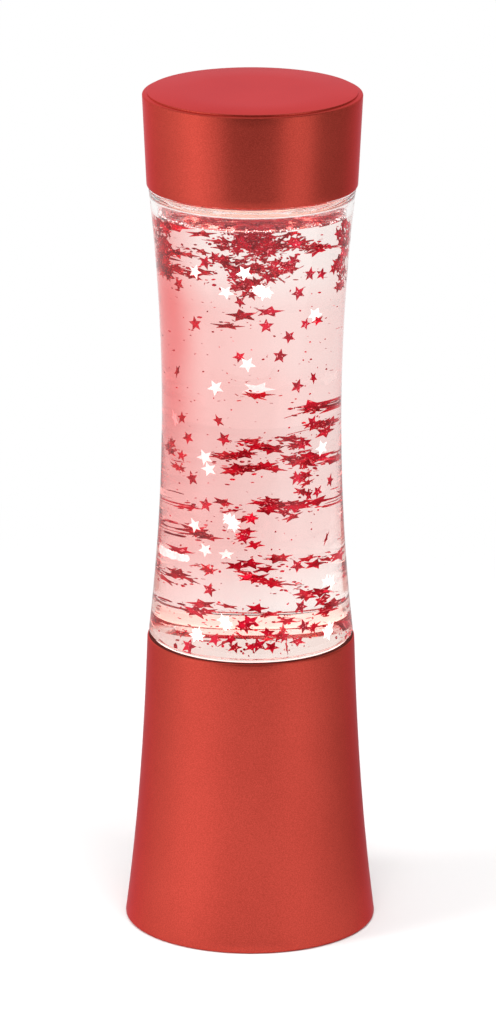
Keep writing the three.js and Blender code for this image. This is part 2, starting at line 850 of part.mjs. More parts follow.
// Two wires from the switch's outer terminals up the tube to the board's edge
function switchWire(x) {
  const start = switchTop + terminalHeight + clearance;
  const level = (boardBottom + boardTop) / 2;
  const reach = Math.sqrt(boardRadius ** 2 - x ** 2) + clearance;
  const run = (ringRadius + tubeOuter) / 2;
  const route = [
    [x, ringRadius, start],
    [x, ringRadius, start + wireBend],
    [x, (ringRadius + run) / 2, start + wireLowerRun],
    [x, run, start + wireLean],
    [x, run, level - wireUpperRun],
    [x, run, level - wireBend],
    [x, run - wireBend / 2, level],
    [x, reach, level],
  ];
  const curve = new THREE.CatmullRomCurve3(route.map((point) => new THREE.Vector3(...point)));
  return sweep(curve, wireRadius, wireSides, wireSteps);
}

place('wire_1', switchWire(-terminalPitch), finish(0xb01818, 0.5));
place('wire_2', switchWire(0), finish(0x202020, 0.5));

// Light window and the foam ring under the bottle
function flatRing(inner, outer, bottom, top, steps = turnSteps) {
  return revolve([[inner, bottom], [outer, bottom], [outer, top], [inner, top]], steps);
}

place('light_window', flatRing(0, windowRadius, windowBottom, windowTop), finish(0xf4f4f4, 0.4, 0, 0.6));
const gasketInner = windowRadius + gasketMargin;
const gasketOuter = spigotRadius - clearance;
place('seat_gasket', flatRing(gasketInner, gasketOuter, gasketBottom, gasketTop), finish(0xe9e4da, 0.9));

// Bottle: a waisted wall between two shoulders, with a spigot at each end and a neck on top
function bottleRadius(height) {
  const middle = (bottleFoot + bottleHead) / 2;
  const away = (height - middle) / (bottleHeight / 2);
  return bottleWaistRadius + (bottleEndRadius - bottleWaistRadius) * away ** 2;
}

function bottleInner(height) {
  return bottleRadius(height) - bottleWall;
}

function bottleOutline(offset, steps) {
  const shift = (height) => bottleRadius(height) - offset;
  const foot = bottleFoot + offset;
  const head = bottleHead - offset;
  const edge = bottleEdge;
  const start = shift(foot + edge) - edge;
  const end = shift(head - edge) - edge;
  return [
    [spigotRadius - offset, bottleBottom + offset],
    [spigotRadius - offset, foot],
    ...arcPoints(start, foot + edge, edge, -Math.PI / 2, 0, steps),
    ...wallPoints(shift, foot + edge, head - edge, waistSteps).slice(1, -1),
    ...arcPoints(end, head - edge, edge, 0, Math.PI / 2, steps),
    [spigotRadius - offset, head],
  ];
}

function bottle() {
  const outside = [
    [0, bottleBottom],
    ...bottleOutline(0, edgeSteps),
    [spigotRadius, spigotTop],
    [neckRadius, neckBottom],
    [neckRadius, neckTop],
    [neckBore, neckTop],
  ];
  const inside = [
    [0, bottleBottom + bottleWall],
    ...bottleOutline(bottleWall, 1),
    [spigotRadius - bottleWall, spigotTop - bottleWall],
    [neckBore, neckBottom - bottleWall],
  ];
  return revolve([...outside, ...inside.reverse()]);
}

place('bottle', bottle(), finish(0xf6e4e2, 0.05, 0, 0.3));

// Foil stars: some flat against the wall, and a few that float on the surface
function starShape(grow = 0) {
  const waist = starRadius * starWaistShare;
  const step = Math.PI / starPoints;
  const tip = new THREE.Vector2(starRadius, 0);
  const valley = polar(waist, step);
  const side = tip.distanceTo(valley);
  const sideReach = Math.abs(tip.cross(valley)) / side;
  const scale = (sideReach + grow) / sideReach;
  const points = [];
  for (let i = 0; i < starPoints * 2; i += 1) {
    const radius = i % 2 === 0 ? starRadius : waist;
    points.push(polar(radius * scale, i * step));
  }
  return new THREE.Shape(points);
}

// Frame of a sunken star: its thickness runs outwards, away from the bottle's axis
function starFrame(index) {
  const [turnShare, heightShare] = sunkenStarShares[index];
  const height = THREE.MathUtils.lerp(bottleFoot, liquidLevel, heightShare);
  const angle = 2 * Math.PI * turnShare - Math.PI / 2;
  const spin = 2 * Math.PI * starSpinShare * index;
  const reach = bottleInner(height) - clearance - clearance - starThickness;
  const outward = new THREE.Vector3(Math.cos(angle), Math.sin(angle), 0);
  const up = new THREE.Vector3(0, 0, 1);
  const along = new THREE.Vector3().crossVectors(up, outward);
  const frame = new THREE.Matrix4().makeBasis(along, up, outward);
  frame.multiply(new THREE.Matrix4().makeRotationZ(spin));
  return frame.setPosition(outward.x * reach, outward.y * reach, height);
}

function starPocket(index) {
  const settings = { depth: bottleWall + overrun, bevelEnabled: false };
  const geometry = new THREE.ExtrudeGeometry(starShape(clearance), settings);
  geometry.translate(0, 0, -clearance);
  geometry.applyMatrix4(starFrame(index));
  return solid(geometry);
}

// The liquid follows the bottle's inside, with a pocket round each sunken star
function liquid() {
  const offset = bottleWall + clearance;
  const body = bottleOutline(offset, 1).filter(([, height]) => height < liquidLevel);
  const surface = bottleRadius(liquidLevel) - offset;
  const filled = revolve([
    [0, bottleBottom + offset],
    ...body,
    [surface, liquidLevel],
    [0, liquidLevel],
  ]);
  return cut(filled, ...sunkenStarShares.map((share, index) => starPocket(index)));
}

place('liquid', liquid(), finish(0xf2c9c6, 0.05, 0, 0.35));

function starName(index) {
  return `star_${String(index + 1).padStart(2, '0')}`;
}

function placeStar(index) {
  const body = prism(starShape(), 0, starThickness);
  return place(starName(index), body, finish(0xb3122b, 0.25, 0.8));
}

sunkenStarShares.forEach((share, index) => placeStar(index).applyMatrix4(starFrame(index)));

floatingStarShares.forEach(([turnShare, reachShare], index) => {
  const star = placeStar(sunkenStarShares.length + index);
  const at = polar(bottleWaistRadius * reachShare, 2 * Math.PI * turnShare - Math.PI / 2);
  star.position.set(at.x, at.y, liquidLevel + clearance);
  star.rotation.z = 2 * Math.PI * starSpinShare * index;
});

// Closure: a liner ring on the neck and a flanged plug
function bottleClosure() {
  const flangeBottom = neckTop + clearance + linerThickness + clearance;
  const plug = neckBore - clearance;
  const plugBottom = neckTop - closurePlugDepth;
  return revolve([
    [0, flangeBottom],
    [plug - closurePlugWall, flangeBottom],
    [plug - closurePlugWall, plugBottom],
    [plug, plugBottom],
    [plug, flangeBottom],
    [neckRadius + closureFlangeReach, flangeBottom],
    [neckRadius + closureFlangeReach, flangeBottom + closureFlange],
    [0, flangeBottom + closureFlange],
  ], turnSteps / 2);
}

const linerBottom = neckTop + clearance;
const liner = flatRing(neckBore, neckRadius, linerBottom, linerBottom + linerThickness, turnSteps / 2);
place('closure_liner', liner, finish(0xdcdcd6, 0.9));
place('bottle_closure', bottleClosure(), finish(0xf0f0f0, 0.5));

// Cap: a tapered cup with a rounded top edge, whose thicker foot grips the upper spigot
function topCap() {
  const lean = (height) => capBottomRadius + capTaper * (height - capBottom) / capHeight;
  const ceiling = capTop - capWall;
  const shoulder = capTop - capEdgeDrop;
  const flat = lean(shoulder) - capEdgeReach;
  const topEdge = arcPoints(0, 0, 1, 0, Math.PI / 2, capEdgeSteps);
  return revolve([
    [capSeatRadius, capBottom],
    ...arcPoints(lean(capBottom) - capFootEdge, capBottom + capFootEdge, capFootEdge, -Math.PI / 2, 0),
    ...topEdge.map(([out, up]) => [flat + capEdgeReach * out, shoulder + capEdgeDrop * up]),
    [0, capTop],
    [0, ceiling],
    [lean(ceiling) - capWall, ceiling],
    [lean(spigotTop + capWall) - capWall, spigotTop + capWall],
    [capSeatRadius, spigotTop],
  ]);
}

place('top_cap', topCap(), finish(red, 0.35, 0.6));

export default lamp;
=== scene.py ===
import math
import random

import bmesh
import bpy
from mathutils import Matrix, Vector


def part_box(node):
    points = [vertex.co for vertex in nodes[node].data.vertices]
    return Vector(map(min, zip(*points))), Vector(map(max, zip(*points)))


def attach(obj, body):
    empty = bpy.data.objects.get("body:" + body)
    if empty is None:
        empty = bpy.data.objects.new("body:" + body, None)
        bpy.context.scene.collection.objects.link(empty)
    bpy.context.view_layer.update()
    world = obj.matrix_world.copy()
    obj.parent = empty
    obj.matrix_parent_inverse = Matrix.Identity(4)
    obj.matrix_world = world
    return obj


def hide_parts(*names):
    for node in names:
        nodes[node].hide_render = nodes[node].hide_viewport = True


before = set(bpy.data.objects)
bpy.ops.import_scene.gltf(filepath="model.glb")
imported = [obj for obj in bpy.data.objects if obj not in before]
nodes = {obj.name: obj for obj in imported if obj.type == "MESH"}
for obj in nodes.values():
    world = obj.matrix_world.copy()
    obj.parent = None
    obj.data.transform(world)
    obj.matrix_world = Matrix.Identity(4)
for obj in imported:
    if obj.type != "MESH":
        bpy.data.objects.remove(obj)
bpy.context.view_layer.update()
mm = 0.001


# Base shell. Injection-moulded plastic, sprayed with a satin metallic red lacquer. A dark ring on top of
# the rim is painted shadow, for the gap under the bottle's foot, and the faces inside the rim glow with
# painted light from the LEDs. It flares like a bell to the ring that the lamp stands on, and carries the
# bottle on a shelf inside the rim.

class Wire:
    """An output inside a material, with operators, so that maths on it reads like plain maths."""

    def __init__(self, paint, socket):
        self.paint = paint
        self.socket = socket

    def maths(self, operation, first, second):
        return self.paint.add("ShaderNodeMath", {"operation": operation}, {0: first, 1: second})

    def __add__(self, other):
        return self.maths("ADD", self, other)

    def __sub__(self, other):
        return self.maths("SUBTRACT", self, other)

    def __rsub__(self, other):
        return self.maths("SUBTRACT", other, self)

    def __mul__(self, other):
        return self.maths("MULTIPLY", self, other)

    __radd__ = __add__
    __rmul__ = __mul__


class Paint:
    """One material, or the room's world. add() makes any node in it; the other calls are common ones."""

    def __init__(self, name, kind=bpy.data.materials):
        self.material = kind.new(name)
        self.material.use_nodes = True
        self.tree = self.material.node_tree
        self.tree.nodes.clear()

    def add(self, kind, settings=None, inputs=None, output=0):
        node = self.tree.nodes.new(kind)
        for key, value in (settings or {}).items():
            if key == "stops":
                self.set_stops(node.color_ramp, value)
            else:
                setattr(node, key, value)
        for key, value in (inputs or {}).items():
            if isinstance(value, Wire):
                self.tree.links.new(value.socket, node.inputs[key])
            else:
                node.inputs[key].default_value = value
        return Wire(self, node.outputs[output]) if node.outputs else None

    def set_stops(self, ramp, stops):
        """Sets a ramp's stops, each a position from 0 to 1 and a level of grey, smooth between."""
        ramp.interpolation = "EASE"
        while len(ramp.elements) < len(stops):
            ramp.elements.new(0.5)
        for element, (position, level) in zip(ramp.elements, stops):
            element.position = position
            element.color = rgb(level, level, level)

    def place(self, axis=None):
        """A point's Object coordinates, in metres: all three, or its x, y or z as axis 0, 1 or 2."""
        spot = self.add("ShaderNodeTexCoord", output="Object")
        return spot if axis is None else self.add("ShaderNodeSeparateXYZ", inputs={0: spot}, output=axis)

    def noise(self, scale, detail=2.0):
        inputs = {"Vector": self.place(), "Scale": scale, "Detail": detail}
        return self.add("ShaderNodeTexNoise", inputs=inputs)

    def rise(self, value, low, high):
        """0 where value is at low or less, 1 where it is at high or more, smooth between."""
        settings = {"interpolation_type": "SMOOTHSTEP"}
        inputs = {"Value": value, "From Min": low, "From Max": high}
        return self.add("ShaderNodeMapRange", settings, inputs)

    def colour(self, factor, first, second):
        settings = {"data_type": "RGBA"}
        return self.add("ShaderNodeMix", settings, {0: factor, 6: first, 7: second}, 2)

    def bump(self, height, depth, strength=1.0):
        inputs = {"Height": height, "Distance": depth, "Strength": strength}
        return self.add("ShaderNodeBump", inputs=inputs)

    def shader(self, **inputs):
        named = {key.replace("_", " "): value for key, value in inputs.items()}
        return self.add("ShaderNodeBsdfPrincipled", inputs=named)

    def done(self, surface):
        self.add("ShaderNodeOutputMaterial", inputs={"Surface": surface})
        return self.material


def rgb(red, green, blue):
    return (red, green, blue, 1.0)


def red_lacquer():
    """Metal flakes in red lacquer, satin, with a faint orange peel."""
    paint = Paint("red_lacquer")
    flakes = paint.noise(4200.0, 1.0)
    cloud = paint.noise(60.0, 2.0)
    tone = paint.rise(flakes * 0.8 + cloud * 0.2, 0.32, 0.68)
    skin = paint.colour(tone, rgb(0.56, 0.062, 0.042), rgb(0.70, 0.088, 0.061))
    gloss = 0.27 + flakes * 0.12
    peel = paint.bump(paint.noise(2600.0, 2.0), 0.00002, 0.35)
    return paint.done(paint.shader(
        Base_Color=skin,
        Metallic=0.9,
        Roughness=gloss,
        Specular_Tint=rgb(1.0, 0.40, 0.48),
        Normal=peel,
    ))


def turned(bm, outline, steps=128, centre=(0.0, 0.0)):
    """Spins an outline of (radius, height) points, in mm, about a vertical axis, into a closed skin."""
    x, y = centre
    points = [bm.verts.new(((x + radius) * mm, y * mm, height * mm)) for radius, height in outline]
    rims = [bm.edges.new(pair) for pair in zip(points, points[1:])]
    off_axis = outline[0][0] > 0 or outline[-1][0] > 0
    if off_axis:
        rims.append(bm.edges.new((points[-1], points[0])))
    bmesh.ops.spin(
        bm, geom=points + rims, cent=(x * mm, y * mm, 0), axis=(0, 0, 1), dvec=(0, 0, 0),
        angle=2 * math.pi, steps=steps, use_merge=True, use_duplicate=False,
    )


def rounded(centre_radius, centre_height, edge, start, end, steps=6):
    """Points of a rounded edge, from one angle to another in degrees."""
    angles = [math.radians(start + (end - start) * i / steps) for i in range(steps + 1)]
    return [(centre_radius + edge * math.cos(a), centre_height + edge * math.sin(a)) for a in angles]


def curve(radius_at, low, high, steps):
    """Points of a wall between two heights, both left out."""
    heights = [low + (high - low) * i / steps for i in range(1, steps)]
    return [(radius_at(height), height) for height in heights]


def piece(name, bm, body, slot, stands_for, *finishes, sharp=35):
    """Closes a mesh's seams, gives it its finishes and hangs it on a body of the lamp."""
    seam = 0.004 * mm
    bmesh.ops.remove_doubles(bm, verts=bm.verts[:], dist=seam)
    bmesh.ops.recalc_face_normals(bm, faces=bm.faces[:])
    mesh = bpy.data.meshes.new(name)
    bm.to_mesh(mesh)
    bm.free()
    mesh.shade_smooth()
    mesh.set_sharp_from_angle(angle=math.radians(sharp))
    for finish in finishes:
        mesh.materials.append(finish)
    made = bpy.data.objects.new(name, mesh)
    bpy.context.scene.collection.objects.link(made)
    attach(made, body)
    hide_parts(*stands_for)
    return made


base_height = 69.6
rim_outer = 24.3
rim_inner = 22.1
rim_edge = 0.6
rim_chamfer = 0.3
shadow_from = 23.0
shadow_to = 24.0
foot_edge = 0.8
foot_land = 0.4
base_wall = 2.2
base_lean = 2.2
bell_flare = 3.1
bell_bend = 2.25
shelf_top = 65.0
shelf_bottom = 62.0
shelf_hole = 15.5
window_recess = 17.3
window_seat = 63.2
boss_bore = 1.5
boss_radius = 3.1
boss_bottom = 4.9
boss_top = 14.0
screw_circle = 21.66
screw_turns = (30, 150, 270)


def base_radius(height):
    down = 1 - height / base_height
    return rim_outer + base_lean * down + bell_flare * down ** bell_bend


def base_inside(height):
    return base_radius(height) - base_wall


def painted_glow_plastic(name, dark, light, shine, glow):
    """Pale plastic with painted light: its emission stands in for the glow of the LEDs inside the lamp.
    """
    paint = Paint(name)
    grain = paint.noise(700.0, 2.0)
    return paint.done(paint.shader(
        Base_Color=paint.colour(grain, dark, light),
        Roughness=0.5 + grain * 0.1,
        Normal=paint.bump(grain, 0.00003, 0.4),
        Emission_Color=shine,
        Emission_Strength=glow,
    ))


def painted_shadow_finish():
    """Painted shadow: a dark ring on top of the rim, where the bottle's foot shades the gap."""
    paint = Paint("painted_shadow_rim")
    grain = paint.noise(1500.0, 2.0)
    return paint.done(paint.shader(
        Base_Color=paint.colour(grain, rgb(0.05, 0.007, 0.005), rgb(0.09, 0.012, 0.008)),
        Roughness=0.6 + grain * 0.1,
        Specular_IOR_Level=0.15,
    ))


def other_finish(made, chosen, number=1):
    """Gives the faces that chosen() picks, by centre in mm and normal, another of a piece's finishes."""
    for face in made.data.polygons:
        if chosen(face.center / mm, face.normal):
            face.material_index = number


red_skin = red_lacquer()
shell = bmesh.new()
turned(shell, [
    *rounded(base_radius(foot_edge) - foot_edge, foot_edge, foot_edge, -90, 0),
    *curve(base_radius, foot_edge, base_height - rim_edge, 48),
    *rounded(rim_outer - rim_edge, base_height - rim_edge, rim_edge, 0, 90),
    (shadow_from, base_height),
    (rim_inner + rim_chamfer, base_height),
    (rim_inner, base_height - rim_chamfer),
    (rim_inner, shelf_top),
    (window_recess, shelf_top),
    (window_recess, window_seat),
    (shelf_hole, window_seat),
    (shelf_hole, shelf_bottom),
    (base_inside(shelf_bottom), shelf_bottom),
    *reversed(curve(base_inside, 0, shelf_bottom, 20)),
    (base_inside(0) + foot_land, 0),
])
boss = [
    (boss_bore, boss_bottom), (boss_radius, boss_bottom),
    (boss_radius, boss_top), (boss_bore, boss_top),
]
for turn in screw_turns:
    spot = (screw_circle * math.cos(math.radians(turn)), screw_circle * math.sin(math.radians(turn)))
    turned(shell, boss, 24, spot)
shell_painted_glow = painted_glow_plastic(
    "painted_glow_shell_inside", rgb(0.8, 0.68, 0.65), rgb(0.9, 0.79, 0.76), rgb(1.0, 0.76, 0.70), glow=0.64)
base = piece(
    "base_shell_skin", shell, "lamp", "red_lacquer", ["base_shell"], red_skin, shell_painted_glow, painted_shadow_finish())


def under_bottle(at, normal):
    return at.xy.length < shadow_from and at.z > shelf_bottom - 0.1


def in_painted_shadow(at, normal):
    return shadow_from < at.xy.length < shadow_to and at.z > base_height - rim_edge / 2


# The faces inside the rim, under the bottle, take the pale plastic with its painted glow
other_finish(base, under_bottle)
# The dark ring on the rim's flat top is painted shadow, where the bottle's foot shades the gap
other_finish(base, in_painted_shadow, 2)


# Base plate, with the battery tube that rises from it. Black moulded plastic with a fine
# spark-eroded grain. Three screws hold it in the shell.

def moulded_plastic(name, dark, light, grain=2400.0, rough=0.5):
    paint = Paint(name)
    speckle = paint.noise(grain, 3.0)
    sheen = paint.noise(90.0, 2.0)
    tone = paint.colour(paint.rise(speckle * 0.6 + sheen * 0.4, 0.35, 0.65), dark, light)
    return paint.done(paint.shader(
        Base_Color=tone,
        Roughness=rough + (sheen - 0.5) * 0.16,
        Normal=paint.bump(speckle, 0.00006, 0.5),
    ))


def coat(names, finish):
    """Gives CAD nodes a finish of their own."""
    for name in names:
        slots = nodes[name].data.materials
        slots.clear()
        slots.append(finish)


black_plastic = moulded_plastic("black_plastic", rgb(0.018, 0.018, 0.019), rgb(0.036, 0.036, 0.038))
coat(["base_plate"], black_plastic)


# Plate screws. Zinc-plated steel with a cross slot. They are turned through the plate into the
# shell's bosses.

def plated_metal(name, dark, light, rough=0.3):
    paint = Paint(name)
    scuffs = paint.noise(900.0, 4.0)
    tone = paint.colour(paint.rise(scuffs, 0.3, 0.7), dark, light)
    return paint.done(paint.shader(
        Base_Color=tone,
        Metallic=1.0,
        Roughness=rough + scuffs * 0.12,
        Normal=paint.bump(scuffs, 0.00001, 0.4),
    ))


steel = plated_metal("zinc_steel", rgb(0.44, 0.45, 0.46), rgb(0.62, 0.63, 0.64))
coat(["plate_screw_1", "plate_screw_2", "plate_screw_3"], steel)


# Battery cover. The plate's moulded plastic a shade lighter, with a plated steel spring inside that
# presses on the cartridge. A coin turns it free of the plate's bayonet collar.

cover_plastic = moulded_plastic("cover_plastic", rgb(0.026, 0.026, 0.027), rgb(0.05, 0.05, 0.052))
coat(["battery_cover"], cover_plastic)
coat(["cover_spring"], steel)


# Battery cartridge. A smooth black frame that holds three cells between nickel springs and links,
# with two brass contacts on top.

coat(["battery_carrier"], moulded_plastic(
    "carrier_plastic", rgb(0.014, 0.014, 0.015), rgb(0.026, 0.026, 0.027), grain=900.0, rough=0.34))
nickel = plated_metal("nickel_plate", rgb(0.52, 0.5, 0.46), rgb(0.7, 0.68, 0.63), rough=0.22)
brass = plated_metal("brass_strip", rgb(0.5, 0.34, 0.12), rgb(0.68, 0.5, 0.2), rough=0.24)
coat(["lower_link", "upper_link", "carrier_spring_1", "carrier_spring_2", "carrier_spring_3"], nickel)
coat(["centre_contact", "ring_contact", "centre_pin", "ring_pin"], brass)


def cell_sleeve(name, upright):
    """A plain printed sleeve in two colours, with bare metal at both ends."""
    paint = Paint(name)
    low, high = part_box(name)
    length = high.z - low.z
    height = paint.place(2)
    along = (height - low.z) * (1 / length) if upright else (high.z - height) * (1 / length)
    dark_end = paint.rise(along, 0.30, 0.305)
    sleeve = paint.colour(dark_end, rgb(0.03, 0.03, 0.032), rgb(0.62, 0.34, 0.07))
    bare = paint.rise(along, 0.955, 0.96) + (1 - paint.rise(along, 0.018, 0.022))
    scuffs = paint.noise(700.0, 3.0)
    return paint.done(paint.shader(
        Base_Color=paint.colour(bare, sleeve, rgb(0.66, 0.65, 0.62)),
        Metallic=0.55 + bare * 0.45,
        Roughness=0.24 + scuffs * 0.14,
    ))


for name, upright in (("battery_1", True), ("battery_2", False), ("battery_3", True)):
    coat([name], cell_sleeve(name, upright))


# LED board. White solder resist over copper, with three LEDs in warm lenses. Two wires come up to it
# from the switch.

def solder_resist():
    paint = Paint("white_board")
    lines = paint.add("ShaderNodeTexWave", {"bands_direction": "DIAGONAL"},
                      {"Vector": paint.place(), "Scale": 140.0, "Distortion": 1.5}, "Fac")
    traces = paint.rise(lines, 0.8, 0.86)
    return paint.done(paint.shader(
        Base_Color=paint.colour(traces, rgb(0.8, 0.8, 0.77), rgb(0.7, 0.69, 0.64)),
        Roughness=0.4 + paint.noise(500.0) * 0.15,
        Normal=paint.bump(traces, 0.00003),
    ))


def led_lens():
    paint = Paint("led_lens")
    grain = paint.noise(1500.0)
    return paint.done(paint.shader(
        Base_Color=paint.colour(grain, rgb(0.9, 0.8, 0.62), rgb(0.98, 0.92, 0.8)),
        Roughness=0.2 + grain * 0.1,
        Emission_Color=rgb(1.0, 0.72, 0.68),
        Emission_Strength=6.0,
    ))


def insulation(name, dark, light):
    return moulded_plastic(name, dark, light, grain=600.0, rough=0.36)


coat(["led_board"], solder_resist())
coat(["led_1", "led_2", "led_3"], led_lens())
coat(["wire_1"], insulation("red_wire", rgb(0.4, 0.012, 0.012), rgb(0.52, 0.02, 0.02)))
coat(["wire_2"], insulation("black_wire", rgb(0.012, 0.012, 0.013), rgb(0.024, 0.024, 0.025)))


# Switch. A white moulded slider, with grooves for a fingertip on its knob, slides in a black body on
# the plate.

coat(["switch_body"], black_plastic)
coat(["switch_slider"], moulded_plastic(
    "slider_plastic", rgb(0.72, 0.72, 0.69), rgb(0.84, 0.84, 0.81), grain=1800.0, rough=0.42))


# Light window and seat ring. The window is frosted, so the LEDs make all of it glow; the bottle's
# foot stands on the foam ring, which glows with painted light standing in for the LEDs' light.

def frosted_window():
    paint = Paint("frosted_window")
    frost = paint.noise(1900.0, 2.0)
    return paint.done(paint.shader(
        Base_Color=paint.colour(frost, rgb(0.9, 0.84, 0.82), rgb(0.97, 0.92, 0.9)),
        Roughness=0.45 + frost * 0.2,
        Normal=paint.bump(frost, 0.00004, 0.5),
        Emission_Color=rgb(1.0, 0.84, 0.8),
        Emission_Strength=2.2,
    ))


# Cream foam whose emission is painted light, standing in for the LEDs' light
def foam():
    paint = Paint("glowing_foam")
    cells = paint.add("ShaderNodeTexVoronoi", inputs={"Vector": paint.place(), "Scale": 2200.0})
    return paint.done(paint.shader(
        Base_Color=paint.colour(cells, rgb(0.62, 0.56, 0.5), rgb(0.82, 0.77, 0.71)),
        Roughness=0.92,
        Normal=paint.bump(cells, 0.00012, 0.7),
        Emission_Color=rgb(1.0, 0.9, 0.76),
        Emission_Strength=0.85,
    ))


coat(["light_window"], frosted_window())
glowing_foam = foam()
coat(["seat_gasket"], glowing_foam)


# Bottle. One clear blow-moulded piece, waisted, with a shoulder and a spigot at each end. Where the
# liquid wets its wall the two let light straight through, so only its dry faces bend light.

bottle_bottom = 66.6
bottle_foot = 70.3
bottle_head = 177.6
bottle_wall = 1.5
waist_radius = 20.9
waist_flare = 3.1
shoulder_edge = 0.6
spigot_radius = 21.8
spigot_edge = 0.5
spigot_top = 181.0
neck_radius = 11.0
neck_bottom = 184.0
neck_top = 189.0
floor_top = bottle_bottom + bottle_wall
floor_edge = 1.2
bore_low = bottle_foot + 2.3
bore_high = bottle_head - 2.3
bore_edge = 0.8
bore_slope = 0.4
liquid_level = 172.0


def bottle_radius(height):
    middle = (bottle_foot + bottle_head) / 2
    away = (height - middle) / (bottle_head - middle)
    return waist_radius + waist_flare * away ** 2


def bottle_inside(height):
    return bottle_radius(height) - bottle_wall


def see_through(name, tint, settings):
    """A clear finish that the lights shine through, so that what is inside is lit."""
    paint = Paint(name)
    lamp_ray = paint.add("ShaderNodeLightPath", output="Is Shadow Ray")
    clear = paint.add("ShaderNodeBsdfTransparent", inputs={"Color": tint})
    body = paint.shader(**settings(paint))
    return paint.done(paint.add("ShaderNodeMixShader", inputs={0: lamp_ray, 1: body, 2: clear}))


def clear_plastic(paint):
    ripple = paint.noise(55.0, 1.0)
    return {
        "Base_Color": rgb(0.99, 0.95, 0.94),
        "Roughness": 0.0,
        "IOR": 1.45,
        "Transmission_Weight": 1.0,
        "Normal": paint.bump(ripple, 0.0004, 0.12),
    }


def wetted(name, tint, painted_glow_tint, start, end):
    """Lets light straight through, tinted pink: painted light that stands in for the LEDs' glow, deeper
    at mid-height and on the left, paler above and below.
    """
    paint = Paint(name)
    height = paint.place(2)
    across = paint.place(0)
    cloud = paint.noise(38.0, 2.0)
    low = paint.rise(height, 0.066, 0.094)
    high = 1 - paint.rise(height, 0.140, 0.172)
    left = paint.rise(across * -1.0, 0.009, 0.0205) * paint.rise(height, 0.09, 0.145)
    glow = paint.rise(low * high * 0.5 + across * -16.0 + cloud * 0.6 + left * 0.75, start, end)
    pale = paint.add("ShaderNodeBsdfTransparent", inputs={"Color": tint})
    deep = paint.add("ShaderNodeBsdfTransparent", inputs={"Color": painted_glow_tint})
    return paint.done(paint.add("ShaderNodeMixShader", inputs={0: glow, 1: pale, 2: deep}))


bottle_skin = bmesh.new()
foot_side = bottle_foot + shoulder_edge
head_side = bottle_head - shoulder_edge
turned(bottle_skin, [
    (0, bottle_bottom),
    *rounded(spigot_radius - spigot_edge, bottle_bottom + spigot_edge, spigot_edge, -90, 0, 4),
    (spigot_radius, bottle_foot),
    *rounded(bottle_radius(foot_side) - shoulder_edge, foot_side, shoulder_edge, -90, 0),
    *curve(bottle_radius, foot_side, head_side, 64),
    *rounded(bottle_radius(head_side) - shoulder_edge, head_side, shoulder_edge, 0, 90),
    (spigot_radius, bottle_head),
    (spigot_radius, spigot_top),
    (neck_radius, neck_bottom),
    (neck_radius, neck_top),
    (neck_radius - bottle_wall, neck_top),
    (neck_radius - bottle_wall, neck_bottom - bottle_wall),
    (spigot_radius - bottle_wall, spigot_top - bottle_wall),
    (spigot_radius - bottle_wall, bottle_head - bottle_wall + bore_slope),
    *rounded(bottle_inside(bore_high + 0.2) - bore_edge, bore_high, bore_edge, 90, 0, 4),
    *reversed(curve(bottle_inside, liquid_level, bore_high, 4)),
    (bottle_inside(liquid_level), liquid_level),
    *reversed(curve(bottle_inside, bore_low, liquid_level, 60)),
    *rounded(bottle_inside(bore_low) - bore_edge, bore_low, bore_edge, 0, -90, 4),
    (spigot_radius - bottle_wall, bottle_foot + bottle_wall - bore_slope),
    *rounded(spigot_radius - bottle_wall - floor_edge, floor_top + floor_edge, floor_edge, 0, -90, 5),
    (0, floor_top),
])
# The wetted faces' pink tint is painted glow from the LEDs
wetted_plastic = wetted(
    "wetted_plastic", rgb(0.99, 0.99, 0.985), rgb(0.93, 0.50, 0.51), start=1.15, end=1.75)
bottle = piece(
    "clear_bottle", bottle_skin, "lamp", "clear_bottle", ["bottle"],
    see_through("clear_plastic", rgb(0.98, 0.93, 0.92), clear_plastic), wetted_plastic, sharp=40)


def wet_side(at, normal):
    inwards = normal.x * at.x + normal.y * at.y < 0
    floor_inside = normal.z > 0.5 and bottle_bottom + 0.2 < at.z < bottle_foot - 0.3
    return at.z < liquid_level and (inwards or floor_inside)


other_finish(bottle, wet_side)


# Liquid. Clear; its pink glow from the LEDs is painted light, a pink tint in its finishes and the
# bottle's.
# Its surface is level and climbs a little at the bottle's wall. A hair's gap keeps its skin off the
# bottle's.

gap = 0.03


def liquid_radius(height):
    return bottle_inside(height) - gap


def liquid_surface(paint):
    ripple = paint.noise(160.0, 2.0)
    return {
        "Base_Color": rgb(0.98, 0.9, 0.885),
        "Roughness": 0.0,
        "IOR": 1.38,
        "Transmission_Weight": 1.0,
        "Normal": paint.bump(ripple, 0.0006, 0.25),
    }


liquid_skin = bmesh.new()
wall_reach = liquid_radius(liquid_level)
spigot_reach = spigot_radius - bottle_wall - gap
meniscus = [(0, 0.55), (0.25, 0.3), (0.7, 0.1), (1.6, 0)]
turned(liquid_skin, [
    (0, floor_top + gap),
    *rounded(spigot_reach - floor_edge, floor_top + floor_edge + gap, floor_edge, -90, 0, 5),
    (spigot_reach, bottle_foot + bottle_wall - bore_slope),
    *rounded(liquid_radius(bore_low) - bore_edge, bore_low + gap, bore_edge, -90, 0, 4),
    *curve(liquid_radius, bore_low, liquid_level, 60),
    *[(wall_reach - away, liquid_level + climb) for away, climb in meniscus],
    (0, liquid_level),
])
wetted_liquid = wetted(
    "wetted_liquid", rgb(0.985, 0.95, 0.94), rgb(0.97, 0.60, 0.59), start=0.3, end=1.4)
liquid = piece(
    "pink_liquid", liquid_skin, "lamp", "liquid", ["liquid"],
    see_through("liquid_surface", rgb(0.97, 0.86, 0.85), liquid_surface), wetted_liquid, sharp=60)


def under_surface(at, normal):
    return normal.z < 0.3 or at.z < liquid_level - 0.1


other_finish(liquid, under_surface)
